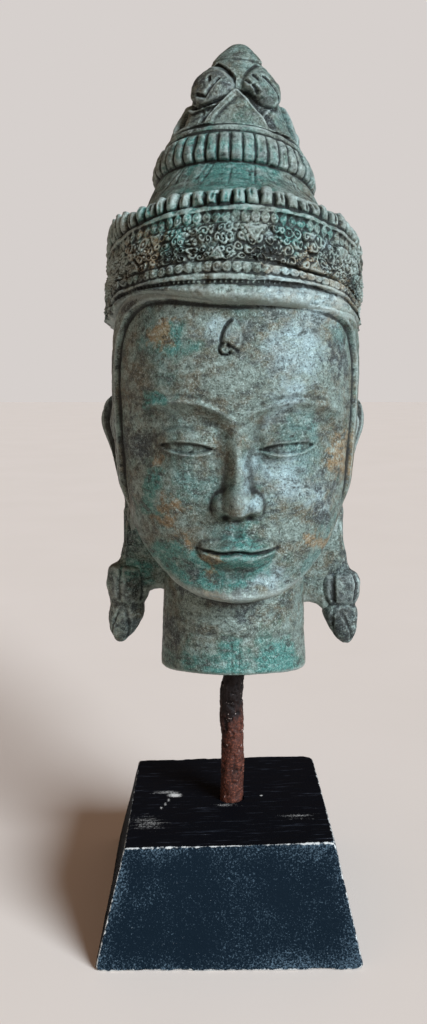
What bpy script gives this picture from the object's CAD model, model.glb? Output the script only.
"""Bronze Buddha head with topknot and crown, on an iron rod in a black wooden block: the finished surfaces.

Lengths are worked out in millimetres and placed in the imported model's frame: +Z up, the face towards -Y.
Left and right are as seen from the front, so right is +X.
"""
import math

import bpy
import numpy as np
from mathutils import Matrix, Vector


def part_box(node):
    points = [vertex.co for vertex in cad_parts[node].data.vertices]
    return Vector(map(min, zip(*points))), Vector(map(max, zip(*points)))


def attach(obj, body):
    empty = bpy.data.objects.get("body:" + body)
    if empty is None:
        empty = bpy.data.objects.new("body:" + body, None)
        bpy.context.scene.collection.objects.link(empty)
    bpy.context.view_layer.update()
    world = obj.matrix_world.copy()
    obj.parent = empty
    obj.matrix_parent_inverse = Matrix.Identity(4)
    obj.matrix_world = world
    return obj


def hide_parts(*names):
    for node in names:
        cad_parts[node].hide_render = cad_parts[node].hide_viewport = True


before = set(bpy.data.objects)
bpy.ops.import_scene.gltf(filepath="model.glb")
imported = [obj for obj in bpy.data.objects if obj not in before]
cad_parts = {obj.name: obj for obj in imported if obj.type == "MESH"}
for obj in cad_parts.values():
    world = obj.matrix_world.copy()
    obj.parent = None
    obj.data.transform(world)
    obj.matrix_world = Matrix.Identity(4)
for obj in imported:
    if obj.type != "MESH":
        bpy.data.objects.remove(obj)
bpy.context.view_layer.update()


# The wooden block
# A foot sawn from one piece of hardwood, its four sides leaning in and its top not quite level. It is
# brushed with thin black paint, rubbed grey along the arrises and broken at the corners, and drilled
# from above for the rod.

MM = 0.001
BLOCK_TOP_WIDTH = 95.0
BLOCK_TOP_SLANT = 2.6
BLOCK_HEIGHT = 53.0
ROD_FOOT_ASIDE = 2.0
ROD_HOLE_RADIUS = 6.3
ROD_IN_BLOCK = 38.0


def unit(x):
    """x held between 0 and 1."""
    return np.clip(x, 0, 1)


def ramp(low, high, x):
    """0 below low and 1 above high, with a smooth rise between."""
    t = unit((x - low) / (high - low))
    return t * t * (3 - 2 * t)


def bell(x, width):
    """1 at 0, falling off smoothly on both sides over the width."""
    return np.exp(-(x / width) ** 2)


def lumps(points, size, seed, octaves=1):
    """Smooth random heights from about -1 to 1, with lumps as wide as size in millimetres."""
    random = np.random.default_rng(seed)
    cells, gain = 48, 1.6
    total, share = 0.0, 1.0
    for _ in range(octaves):
        table = random.uniform(-1, 1, (cells, cells, cells))
        turn = np.linalg.qr(random.normal(size=(3, 3)))[0]
        cell = points @ turn / size
        corner = np.floor(cell).astype(int)
        part = cell - corner
        part = part * part * (3 - 2 * part)
        for step in np.ndindex(2, 2, 2):
            weight = np.prod(np.where(step, part, 1 - part), axis=-1)
            at = tuple(np.moveaxis((corner + step) % cells, -1, 0))
            total = total + share * gain * weight * table[at]
        size, share = size / 2, share / 2
    return total


def points_of(x, y, z):
    """Points from their three places, each a number or a whole row or grid of them."""
    return np.stack(np.broadcast_arrays(x, y, z), axis=-1)


def build_mesh(name, points, faces, measures):
    """A smooth-shaded piece from points in millimetres, with its measures kept for the material."""
    mesh = bpy.data.meshes.new(name)
    mesh.from_pydata((points * MM).tolist(), [], faces)
    mesh.shade_smooth()
    for label, values in measures.items():
        layer = mesh.attributes.new(label, "FLOAT", "POINT")
        layer.data.foreach_set("value", np.ascontiguousarray(values, dtype=np.float32))
    piece = bpy.data.objects.new(name, mesh)
    bpy.context.scene.collection.objects.link(piece)
    return piece


def paint(code):
    """An sRGB hex colour as linear values."""
    levels = np.array([int(code[i:i + 2], 16) for i in (1, 3, 5)]) / 255
    linear = np.where(levels <= 0.04045, levels / 12.92, ((levels + 0.055) / 1.055) ** 2.4)
    return (*(float(level) for level in linear), 1.0)


def feed(tree, node, inputs):
    """Fills a node's inputs, given by name or number or in the node's own order. Each takes a value, the
    socket that feeds it, or the node whose first output does."""
    for place, value in inputs.items() if isinstance(inputs, dict) else enumerate(inputs):
        if isinstance(value, bpy.types.Node):
            value = value.outputs[0]
        if isinstance(value, bpy.types.NodeSocket):
            tree.links.new(value, node.inputs[place])
        else:
            node.inputs[place].default_value = value


def add_node(tree, kind, inputs=(), **settings):
    """Adds one node with its settings and links."""
    node = tree.nodes.new("ShaderNode" + kind)
    for name, value in settings.items():
        setattr(node, name, value)
    feed(tree, node, inputs)
    return node


def new_material(name):
    """A material, its node tree, its surface shader, and the place on the object in metres."""
    material = bpy.data.materials.new(name)
    material.use_nodes = True
    tree = material.node_tree
    return material, tree, tree.nodes["Principled BSDF"], add_node(tree, "TexCoord").outputs["Object"]


def arris_lines(half):
    """Grid lines across a face of the block, close together near its two arrises."""
    near = half - np.array([0, 0.2, 0.4, 0.65, 0.9, 1.2, 1.55, 2.0, 2.6, 3.4])
    middle = np.linspace(3.4 - half, half - 3.4, int(half * 1.5))[1:-1]
    return np.concatenate([-near, middle, near[::-1]])


def block_surface():
    """Points and faces of a box with soft, broken edges, drawn in to a frustum with a slanting top."""
    low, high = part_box("wood_block")
    foot_width = (high.x - low.x) / MM
    half = np.array([foot_width, foot_width, BLOCK_HEIGHT]) / 2
    points, faces, start = [], [], 0
    for axis in range(3):
        across, along = [other for other in range(3) if other != axis]
        u, v = np.meshgrid(arris_lines(half[across]), arris_lines(half[along]), indexing="ij")
        for side in (-1, 1):
            sheet = np.zeros((*u.shape, 3))
            sheet[..., across], sheet[..., along], sheet[..., axis] = u, v, side * half[axis]
            index = start + np.arange(u.size).reshape(u.shape)
            quads = np.stack([index[:-1, :-1], index[1:, :-1], index[1:, 1:], index[:-1, 1:]], axis=-1)
            quads = quads.reshape(-1, 4)
            turned = (side > 0) != (axis == 1)
            faces.append(quads if turned else quads[:, ::-1])
            points.append(sheet.reshape(-1, 3))
            start += u.size
    points, faces = np.concatenate(points), np.concatenate(faces)
    _, first, shared = np.unique(np.round(points, 4), axis=0, return_index=True, return_inverse=True)
    points, faces = points[first], shared.reshape(-1)[faces]

    # The arrises are rounded, more so at the corners and where they are chipped, and the faces are sawn
    # a little uneven
    to_edge = np.sort(half - np.abs(points), axis=1)[:, 1]
    to_corner = np.linalg.norm(half - np.abs(points), axis=1)
    chips = unit(lumps(points, 7, 3, 3) - 0.25) ** 1.3
    radius = 0.7 + 1.1 * chips + 1.2 * bell(to_corner, 4.0) * (1 + lumps(points, 9, 4))
    radius = np.minimum(radius, 3.2)[:, None]
    core = np.clip(points, radius - half, half - radius)
    out = points - core
    points = core + out / np.linalg.norm(out, axis=1, keepdims=True) * radius
    rough = 0.10 * lumps(points * (0.25, 1, 1), 2.2, 5, 2) + 0.35 * lumps(points, 26, 6)
    on_face = np.sign(out) * (np.abs(out) >= radius * 0.99)
    points = points - 0.6 * on_face * (0.25 + rough)[:, None]

    up = (points[:, 2] + half[2]) / BLOCK_HEIGHT
    taper = 1 - (1 - BLOCK_TOP_WIDTH / foot_width) * up
    points = points_of(points[:, 0] * taper, points[:, 1] * taper, up * BLOCK_HEIGHT)
    points[:, 2] += up * BLOCK_TOP_SLANT * points[:, 0] / BLOCK_TOP_WIDTH
    points[:, 2] = np.maximum(points[:, 2], 0)
    return points, faces.tolist(), {"to_edge": to_edge}


def drill(piece, radius, foot, top, aside):
    """Bores a round hole into a piece from above."""
    bpy.ops.mesh.primitive_cylinder_add(vertices=48, radius=radius * MM, depth=(top - foot) * MM,
                                        location=(aside * MM, 0, (top + foot) / 2 * MM))
    bit = bpy.context.object
    cut = piece.modifiers.new("hole", "BOOLEAN")
    cut.object, cut.operation, cut.solver = bit, "DIFFERENCE", "EXACT"
    drilled = bpy.data.meshes.new_from_object(piece.evaluated_get(bpy.context.evaluated_depsgraph_get()))
    piece.modifiers.clear()
    piece.data = drilled
    bpy.data.objects.remove(bit, do_unlink=True)


def black_painted_wood():
    """Thin brushed black paint on wood: a dull satin, bluish where light grazes it, with pale grey wood
    dust and old plaster caught in the grain and along the rubbed arrises."""
    material, tree, shader, place = new_material("black_painted_wood")
    to_edge = add_node(tree, "Attribute", attribute_name="to_edge").outputs["Fac"]
    to_back = add_node(tree, "SeparateXYZ", [place]).outputs["Y"]
    facing_up = add_node(tree, "SeparateXYZ", [add_node(tree, "TexCoord").outputs["Normal"]]).outputs["Z"]
    on_top = add_node(tree, "MapRange", [facing_up, 0.75, 0.95])

    # The grain runs along X in streaks 17 mm long and 1.6 mm wide
    grain = add_node(tree, "Mapping", {"Vector": place, "Scale": (60, 620, 620)})
    streaks, dust, cloud, rub = (
        add_node(tree, "TexNoise", {"Vector": at, "Scale": scale, "Detail": detail, "Roughness": rough})
        for at, scale, detail, rough in ((grain, 1.0, 5, 0.62), (place, 1000 / 0.8, 3, 0.8),
                                         (place, 1000 / 24, 3, 0.55), (place, 1000 / 3.2, 5, 0.7)))

    specks = add_node(tree, "Math", [cloud, 0.34, dust], operation="MULTIPLY_ADD")
    near_edge = add_node(tree, "MapRange", [to_edge, 1.0, 9.0, 0.10, 0.0])
    specks = add_node(tree, "Math", [specks, near_edge], operation="ADD")
    specks = add_node(tree, "MapRange", [specks, 0.76, 0.96])
    beside = add_node(tree, "Math", [1.0, on_top], operation="SUBTRACT")
    specks = add_node(tree, "Math", [specks, beside], operation="MULTIPLY")
    lines = add_node(tree, "MapRange", [streaks, 0.58, 0.74])
    lines = add_node(tree, "Math", [lines, on_top], operation="MULTIPLY")

    worn = add_node(tree, "MapRange", [to_edge, 0.3, 3.0, 0.26, -0.4])
    worn = add_node(tree, "Math", [worn, rub], operation="ADD")
    to_front = add_node(tree, "MapRange", [to_back, 0.0, -0.046, -0.07, 0.0])
    worn = add_node(tree, "Math", [worn, to_front], operation="ADD")
    worn = add_node(tree, "MapRange", [worn, 0.68, 0.80])

    # Marks of old plaster on the top: middle and half size in millimetres, and strength
    marks = [((-26.0, 4.0), (5.5, 3.4), 0.8), ((-31.0, 7.0), (12.0, 3.6), 0.42),
             ((-38.0, -24.0), (15.0, 12.0), 0.38), ((-29.3, -1.0), (1.5, 3.6), 0.5),
             ((-30.8, -5.0), (1.3, 3.6), 0.5), ((-32.6, -9.0), (1.3, 3.6), 0.5),
             ((-1.0, -8.0), (11.0, 2.4), 0.5), ((33.0, -22.0), (15.0, 7.0), 0.32),
             ((17.0, 1.0), (1.3, 1.3), 0.7)]
    chalk = 0.0
    for (x, y), (wide, deep), strength in marks:
        shifted = add_node(tree, "VectorMath", [place, (x * MM, y * MM, 0)], operation="SUBTRACT")
        squeeze = (1000 / wide, 1000 / deep, 0)
        squeezed = add_node(tree, "VectorMath", [shifted, squeeze], operation="MULTIPLY")
        far = add_node(tree, "VectorMath", [squeezed], operation="LENGTH").outputs["Value"]
        near = add_node(tree, "MapRange", [far, 0.0, 1.0, strength, 0.0])
        chalk = add_node(tree, "Math", [near, chalk], operation="ADD")
    chalk = add_node(tree, "Math", [chalk, on_top], operation="MULTIPLY")
    half_streaks = add_node(tree, "Math", [streaks, 0.5], operation="MULTIPLY")
    flecks = add_node(tree, "Math", [dust, 0.5, half_streaks], operation="MULTIPLY_ADD")
    chalk = add_node(tree, "Math", [chalk, 0.55, flecks], operation="MULTIPLY_ADD")
    chalk = add_node(tree, "MapRange", [chalk, 0.65, 0.86])

    colour = paint("#06131c")
    for share, code in ((on_top, "#04060b"), (specks, "#50626d"), (lines, "#2a2e36"), (chalk, "#c4c2bc"),
                        (worn, "#b4b5b0")):
        colour = add_node(tree, "Mix", {0: share, 6: colour, 7: paint(code)}, data_type="RGBA").outputs[2]
    rough = add_node(tree, "MapRange", [cloud, 0.0, 1.0, 0.6, 0.8])
    relief = add_node(tree, "Math", [dust, streaks], operation="ADD")
    bump = add_node(tree, "Bump", {"Strength": 0.45, "Distance": 0.0004, "Height": relief})
    feed(tree, shader, {"Base Color": colour, "Roughness": rough, "Specular IOR Level": 0.06, "IOR": 1.5,
                        "Normal": bump})
    return material


block_points, block_faces, block_measures = block_surface()
block = build_mesh("wood_block_worn", block_points, block_faces, block_measures)
drill(block, ROD_HOLE_RADIUS, BLOCK_HEIGHT - ROD_IN_BLOCK, BLOCK_HEIGHT + 2 * BLOCK_TOP_SLANT, ROD_FOOT_ASIDE)
block.data.materials.append(black_painted_wood())
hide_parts("wood_block")
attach(block, "root")


# The iron rod
# A length of plain round bar let into the block and the neck. It is slightly bent, and rusted all over
# to a pitted red-brown crust that has gone nearly black at the top.

ROD_RADIUS, ROD_WIDEST = 5.75, 5.98
ROD_TOP_ASIDE = 2.8
ROD_EXPOSED = 69.0


def between(rise_from, rise_to, fall_from, fall_to, x):
    """1 from rise_to to fall_from, with a smooth rise before and a smooth fall after."""
    return ramp(rise_from, rise_to, x) * ramp(fall_to, fall_from, x)


def around(radius, angles, heights, aside=0.0, back=0.0, depth=1.0):
    """Points round an upright axis, with angle 0 in front; depth is how deep the round is for its width."""
    return points_of(radius * np.sin(angles) + aside, -radius * depth * np.cos(angles) + back, heights)


def surface_of(rows, wrap=False):
    """Faces over rows of points that each go round, with fans over the ends or, wrapped, a ring."""
    count, across = rows.shape[:2]
    index = np.arange(count * across).reshape(count, across)
    low, high = (index, np.roll(index, -1, axis=0)) if wrap else (index[:-1], index[1:])
    quads = np.stack([low, np.roll(low, -1, axis=1), np.roll(high, -1, axis=1), high], axis=-1)
    points, faces = rows.reshape(-1, 3), quads.reshape(-1, 4).tolist()
    if not wrap:
        points = np.concatenate([points, [rows[0].mean(axis=0), rows[-1].mean(axis=0)]])
        foot, top = count * across, count * across + 1
        for i in range(across):
            j = (i + 1) % across
            faces += [[index[0, j], index[0, i], foot], [index[-1, i], index[-1, j], top]]
    return points, faces


def rod_rows():
    """Rows of points up the bent rod, and how deep its crust is pitted at each."""
    low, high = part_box("iron_rod")
    heights = np.linspace(low.z / MM + 0.2, high.z / MM - 0.2, 250)[:, None]
    angles = np.linspace(0, math.tau, 88, endpoint=False)[None, :]
    bare_from, bare_to = BLOCK_HEIGHT, BLOCK_HEIGHT + ROD_EXPOSED
    share = unit((heights - bare_from - 2) / (bare_to - bare_from - 8))
    lean = (ROD_TOP_ASIDE - ROD_FOOT_ASIDE) * (share - 1)
    aside = ROD_TOP_ASIDE + lean + 0.9 * np.sin(math.tau * share) * share
    plain = around(ROD_RADIUS, angles, heights)
    crust = 0.32 * lumps(plain * (1, 1, 0.45), 5.0, 11, 2) + 0.16 * lumps(plain, 1.3, 12, 2)
    flakes = 0.35 * ramp(0.15, 0.3, lumps(plain * (1, 1, 0.35), 4.2, 13, 2))
    pits = -0.55 * ramp(0.45, 0.9, lumps(plain, 1.7, 14))
    bare = between(bare_from - 2, bare_from + 1, bare_to - 1, bare_to + 2, heights)
    radius = np.minimum(ROD_RADIUS - 0.15 + (crust + flakes + pits - 0.1) * bare, ROD_WIDEST)
    back = 0.3 * np.sin(math.pi * share)
    return around(radius, angles, heights, aside, back), (ROD_RADIUS - radius).ravel()


def rusted_iron():
    """Thick iron rust: matt, red-brown with orange pits and a blackened skin, hardly metallic at all."""
    material, tree, shader, place = new_material("rusted_iron")
    pit = add_node(tree, "Attribute", attribute_name="pit").outputs["Fac"]
    drawn = add_node(tree, "Mapping", {"Vector": place, "Scale": (1.0, 1.0, 0.35)})
    patches, grit, flecks = (
        add_node(tree, "TexNoise", {"Vector": at, "Scale": 1000 / size, "Detail": detail, "Roughness": rough})
        for at, size, detail, rough in ((drawn, 7, 4, 0.65), (place, 0.9, 4, 0.7), (place, 1.8, 2, 0.5)))
    rise = add_node(tree, "SeparateXYZ", [place]).outputs["Z"]
    black = add_node(tree, "MapRange", [rise, 0.088, 0.112, -0.12, 0.2])
    black = add_node(tree, "Math", [black, patches], operation="ADD")
    black = add_node(tree, "MapRange", [black, 0.42, 0.62])
    orange = add_node(tree, "MapRange", [grit, 0.48, 0.70, 0.0, 0.9])
    deep = add_node(tree, "MapRange", [pit, 0.15, 0.75, 0.0, 0.8])
    pale = add_node(tree, "MapRange", [flecks, 0.68, 0.73, 0.0, 0.8])
    colour = paint("#3b211a")
    for share, code in ((orange, "#7c4430"), (black, "#160d0a"), (deep, "#0c0706"), (pale, "#b5a39b")):
        colour = add_node(tree, "Mix", {0: share, 6: colour, 7: paint(code)}, data_type="RGBA").outputs[2]
    bump = add_node(tree, "Bump", {"Strength": 0.7, "Distance": 0.0004, "Height": grit})
    feed(tree, shader, {"Base Color": colour, "Roughness": 0.65, "Specular IOR Level": 0.2,
                        "Metallic": 0.15, "Normal": bump})
    return material


rod_surface, rod_pits = rod_rows()
rod_points, rod_faces = surface_of(rod_surface)
rod = build_mesh("iron_rod_rusted", rod_points, rod_faces, {"pit": np.append(rod_pits, [0.0, 0.0])})
rod.data.materials.append(rusted_iron())
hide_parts("iron_rod")
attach(rod, "root")


# The head: face, skull and neck
# One hollow lost-wax casting in bronze, with the crown, topknot, ears and pendants in the same pour. The
# skin of the metal is finely pitted under a grey-green patina. It is worked out in carver's millimetres
# from the middle of the neck's cut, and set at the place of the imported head.

HEAD_HEIGHT = 284.0
HAIRLINE, THIRD = 167.0, 43.0
BROW, NOSE_BASE, CHIN = HAIRLINE - THIRD, HAIRLINE - 2 * THIRD, HAIRLINE - 3 * THIRD
MOUTH = NOSE_BASE - THIRD / 3
EYE, EYE_WIDTH = 112.5, 21.4
EYE_ASIDE = EYE_WIDTH
MOUTH_HALF = 16.5
NECK_CUT_RISE, SOCKET_DEPTH = 0.15, 30.0
STRAP_ANGLE, STRAP_BEND, STRAP_CORNER = 71.0, 125.0, 3.4
SQUARENESS = 2.25


def smooth_curve(points):
    """A curve through (place, size) pairs that doesn't overshoot between them."""
    place, size = np.array(points, float).T
    step = np.diff(place)
    slope = np.diff(size) / step
    product, total = slope[:-1] * slope[1:], slope[:-1] + slope[1:]
    inner = np.where(product > 0, 2 * product / np.where(product > 0, total, 1.0), 0.0)
    tangent = np.concatenate([slope[:1], inner, slope[-1:]])

    def read(x):
        x = np.clip(x, place[0], place[-1])
        i = np.clip(np.searchsorted(place, x, side="right") - 1, 0, len(step) - 1)
        t = (x - place[i]) / step[i]
        start = (1 + 2 * t) * (1 - t) ** 2 * size[i] + t * (1 - t) ** 2 * step[i] * tangent[i]
        return start + t * t * (3 - 2 * t) * size[i + 1] + t * t * (t - 1) * step[i] * tangent[i + 1]

    return read


def dome(far):
    """Height of a half ball at its distance from the middle, and 0 beyond its rim."""
    return np.sqrt(unit(1 - far ** 2))


def smooth_max(a, b, blend):
    """The greater of two heights, blended where they come close."""
    h = unit(0.5 + 0.5 * (a - b) / blend)
    return b * (1 - h) + a * h + blend * h * (1 - h)


HEAD_HALF_WIDTH = smooth_curve([(20, 34), (38, 37), (55, 43), (67, 47), (81, 50.3), (95, 52.8),
                                (112, 54), (130, 54.6), (165, 54.5), (190, 50)])
FACE_DEPTH = smooth_curve([(20, 48), (38, 51), (46, 53), (54, 52.2), (67, 54), (81, 54.6), (96, 54.8),
                           (112, 54.8), (124, 56.6), (142, 58), (158, 57.2), (175, 55), (190, 50)])
BACK_DEPTH = smooth_curve([(20, 32), (60, 36), (80, 43), (105, 53), (135, 59), (165, 58), (190, 52)])
JAW_HEIGHT = smooth_curve([(0, CHIN), (15, CHIN + 0.7), (30, CHIN + 3.6), (45, CHIN + 9.5),
                           (60, CHIN + 18), (75, CHIN + 28), (90, CHIN + 37), (120, CHIN + 41),
                           (180, CHIN + 38)])
JAW_ROUNDING = smooth_curve([(0, 9), (30, 10), (60, 14), (90, 20), (120, 34), (180, 48)])
NECK_HALF_WIDTH = smooth_curve([(-12, 35), (3, 35), (20, 34.2), (45, 33.6), (80, 35)])

# The crown leans back and a little to one side. At each level: how much lower the sides stand than the
# front, how much lower still the back does, how far the right side drops and the left one rises, how far
# the whole is set aside, and how deep it is for its width
ROLL_FALL, CROWN_FALL, KNOB_FALL, TOPKNOT_FALL = 6.5, 16.6, 18.5, 7.0
LEVEL_FALL = smooth_curve([(160, ROLL_FALL), (167, ROLL_FALL), (170, 8.5), (174.5, 12.5), (178, 15.0),
                           (183.5, CROWN_FALL), (198.6, 17.8), (205.8, KNOB_FALL), (213, KNOB_FALL),
                           (219, 15.0), (227, TOPKNOT_FALL), (243, TOPKNOT_FALL), (252, 4.0), (266, 0.0)])
LEVEL_FALL_BEHIND = smooth_curve([(160, 9.0), (213, 9.0), (227, 4.0), (243, 4.0), (266, 0.0)])
LEVEL_TILT = smooth_curve([(160, 1.5), (178, 2.0), (184, 2.0), (200, 0.5), (213, 0.6), (227, 2.0),
                           (243, 2.0), (256, 0.0)])
LEVEL_ASIDE = smooth_curve([(160, -0.6), (183.5, -0.9), (198.6, -0.5), (205.8, -0.1), (225, -0.4),
                            (262, -0.2), (284, 1.6)])
LEVEL_DEPTH = smooth_curve([(160, 1.08), (212, 1.08), (218.5, 1.03), (223.5, 1.0), (284, 1.0)])

# The band isn't quite even: its lower edge is lifted most over the left temple, and the groove above the
# roll and the beads over the right one, by so many millimetres at each angle in degrees to the right
EDGE_LIFT = smooth_curve([(-180, 0), (-72, 0), (-60, 4.0), (-50, 6.4), (-41, 6.6), (-28, 5.1), (-14, 3.0),
                          (0, 2.1), (35, 2.2), (52, 2.2), (75, 0), (180, 0)])
GROOVE_LIFT = smooth_curve([(-180, 0), (-72, 0), (-55, 2.8), (-40, 2.6), (0, 2.0), (20, 3.0), (35, 4.2),
                            (50, 4.1), (62, 2.5), (75, 0), (180, 0)])
BEAD_LIFT = smooth_curve([(-180, 0), (-75, 0), (-56, 3.0), (-40, 1.4), (0, 1.5), (30, 1.5), (45, 2.2),
                          (58, 2.8), (75, 0), (180, 0)])


def stepped(*parts):
    """Places from each start up to its end, a step apart."""
    return np.concatenate([np.arange(*part) for part in parts])


def level_drop(angles, heights):
    """How much lower a level of the crown or topknot stands at each angle than in front."""
    fore, aft = np.maximum(np.cos(angles), 0), np.maximum(-np.cos(angles), 0)
    return (LEVEL_FALL(heights) * (1 - fore) + LEVEL_FALL_BEHIND(heights) * aft
            + LEVEL_TILT(heights) * np.sin(angles))


def nose_relief(across, height):
    """A straight bridge widening to a rounded tip, with the wings blended into it."""
    drop = unit((EYE + 7 - height) / (EYE + 7 - NOSE_BASE))
    crest = 2.6 + 9.6 * drop ** 1.1
    half = 5.0 + 3.4 * ramp(0.3, 1.0, drop)
    aside = unit(across / half)
    over = 1 - ramp(EYE + 3, BROW + 6, height)
    bridge = crest * (1 - aside ** 1.7) ** 1.3 * over
    from_tip = (across / 6.4) ** 2 + ((height - NOSE_BASE - 7.2) / 8.4) ** 2
    tip = 14.0 * np.sqrt(unit(1 - from_tip)) - 1.2
    from_wing = ((across - 6.5) / 4.5) ** 2 + ((height - NOSE_BASE - 4.9) / 6.0) ** 2
    wing = 6.9 * np.sqrt(unit(1 - from_wing)) - 0.8
    under = ramp(NOSE_BASE - 1.6, NOSE_BASE + 2.6 + 0.12 * across, height)
    body = smooth_max(smooth_max(bridge, tip, 4.2), wing, 4.6) - 1.0
    nostril = -3.0 * bell(across - 4.6, 1.9) * bell(height - NOSE_BASE - 0.4, 1.3)
    return np.maximum(body, 0) * under + nostril


def eye_relief(across, height):
    """Arched brows over shallow sockets, and full lids lowered to a narrow opening."""
    brow_line = BROW - 2.5 + 7.0 * (1 - ((across - 25) / 23) ** 2)
    window = 1 - ramp(38, 50, across)
    below = ramp(brow_line + 1.5, brow_line - 7.0, height)
    socket = -3.6 * below * (1 - ramp(EYE - 2, EYE - 18, height)) * window * ramp(2, 10, across)
    brow = 1.2 * bell(height - brow_line - 0.5, 1.7) * window * ramp(0.0, 6, across)
    incised = -0.3 * bell(height - brow_line - 3.4, 0.7) * window * between(3, 10, 36, 44, across)

    out = across - EYE_ASIDE
    along = np.clip(out / (EYE_WIDTH / 2), -1, 1)
    arch = np.sqrt(1 - along ** 2)
    tilt = 0.7 * along
    rise = height - EYE - 0.3
    ball = 5.2 * np.exp(-((out / 11.6) ** 2 + (rise / np.where(rise > 0, 8.2, 10.0)) ** 2) ** 1.35)
    upper = EYE - 2.4 + 2.0 * arch + tilt
    lower = EYE - 2.4 - 2.3 * arch ** 1.3 + tilt
    inside = between(lower - 0.2, lower + 0.5, upper - 0.35, upper + 0.25, height) * (np.abs(along) < 1)
    reach = 1 - ramp(EYE_WIDTH / 2 - 0.5, EYE_WIDTH / 2 + 4.0, np.abs(out))
    lid = 1.15 * between(upper - 0.2, upper + 0.5, EYE + 3.5, EYE + 8, height) * reach
    lower_lid = 0.8 * bell(height - lower + 0.8, 0.8) * reach
    crease = -0.8 * bell(height - upper - 5.4 - 1.4 * arch, 0.8) * bell(out, 11)
    iris = -0.3 * bell(np.hypot(out, height - EYE + 1.6) - 3.2, 0.5) * inside
    inner = -0.7 * bell(out + EYE_WIDTH / 2 + 0.6, 1.5) * bell(height - EYE + 3.2, 1.2)
    tail = -0.45 * bell(height - EYE + 2.0 - 0.12 * (out - 10), 0.6) * between(9.5, 11, 13, 16, out)
    return socket + brow + incised + ball + lid + lower_lid + crease - 1.0 * inside + iris + inner + tail


def mouth_relief(across, height):
    """Full closed lips with a clear bow, their corners drawn in a little."""
    along = unit(across / MOUTH_HALF)
    taper = np.sqrt(1 - along ** 2)
    line = MOUTH + 0.5 * bell(across, 3.0) - 0.5 * bell(across - 7, 4.0) + 1.0 * along ** 2.5
    barrel = 2.8 * bell(across, 19) * bell(height - MOUTH, 14)
    bow = 1.1 * bell(across - 4.2, 2.8) - 0.8 * bell(across, 2.2)
    top, foot = line + 0.3 + 5.0 * taper ** 1.1 + bow * taper, line - 0.3 - 6.6 * taper ** 1.2
    upper = unit((height - line) / (top - line))
    lower = unit((line - height) / (line - foot))
    full = taper ** 0.8
    lips = 3.2 * full * (np.sin(np.pi * upper ** 0.7) ** 0.75 + 1.15 * np.sin(np.pi * lower ** 0.66) ** 0.85)
    seam = 0.7 * bell(height - top, 0.6) + 0.6 * bell(height - foot, 0.7)
    seam = seam - 0.25 * (bell(height - top - 1.4, 0.6) + bell(height - foot + 1.6, 0.7))
    seam = seam * ramp(0.0, 0.35, taper)
    parting = -1.1 * bell(height - line, 0.6) * (1 - ramp(0.96, 1.12, across / MOUTH_HALF))
    corner = -1.5 * bell(across - MOUTH_HALF - 0.6, 2.6) * bell(height - MOUTH - 1.5, 2.6)
    above = between(MOUTH + 5, MOUTH + 7.5, NOSE_BASE - 2, NOSE_BASE + 0.5, height)
    philtrum = (0.3 * bell(across - 3.0, 1.2) - 0.8 * bell(across, 2.0)) * above
    fold = -0.45 * bell(across - 15 - 0.5 * (NOSE_BASE - height), 3.0)
    fold = fold * between(MOUTH - 1, MOUTH + 6, NOSE_BASE + 1, NOSE_BASE + 8, height)
    return barrel + lips + seam + parting + corner + philtrum + fold


def forehead_ornament(x, height):
    """A drop-shaped flame set a little to the left, with a small curl at its foot."""
    up = unit((height - 149.0) / 13.8)
    middle = -2.7 + 1.0 * up
    inside = 10.6 * np.sqrt(up) * (1 - up) ** 0.8 - np.abs(x - middle)
    open_drop = (up > 0) & (up < 1)
    drop = (1.5 * ramp(-0.2, 1.3, inside) + 0.35 * ramp(1.0, 3.2, inside)) * open_drop
    rim = -0.9 * bell(inside + 0.3, 0.42) * ramp(-0.5, -3.0, x - middle) * open_drop
    from_curl = np.hypot(x + 5.4, height - 150.4)
    curl = 1.7 * dome(from_curl / 2.1) - 0.5 * bell(from_curl, 0.7)
    ring = -1.1 * bell(from_curl - 2.4, 0.38)
    cut = -1.5 * bell(height - 149.6 + 0.6 * (x + 0.1), 0.5) * between(-5.4, -4.4, -0.4, 0.6, x)
    return np.where(from_curl < 2.1, curl, drop) + np.minimum(np.minimum(rim, ring), cut)


def face_relief(x, height):
    """How far the features of the face stand forward of the head's plain form."""
    across = np.abs(x)
    hollow = -1.3 * bell(across, 11) * bell(height - (MOUTH - 11.5), 3.5)
    chin = 3.4 * bell(across, 12) * bell(height - (CHIN + 9), 8)
    cheek = 2.0 * bell(across - 29, 13) * bell(height - (EYE - 20), 14)
    features = nose_relief(across, height) + eye_relief(across, height) + mouth_relief(across, height)
    return features + hollow + chin + cheek + forehead_ornament(x, height)


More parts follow.
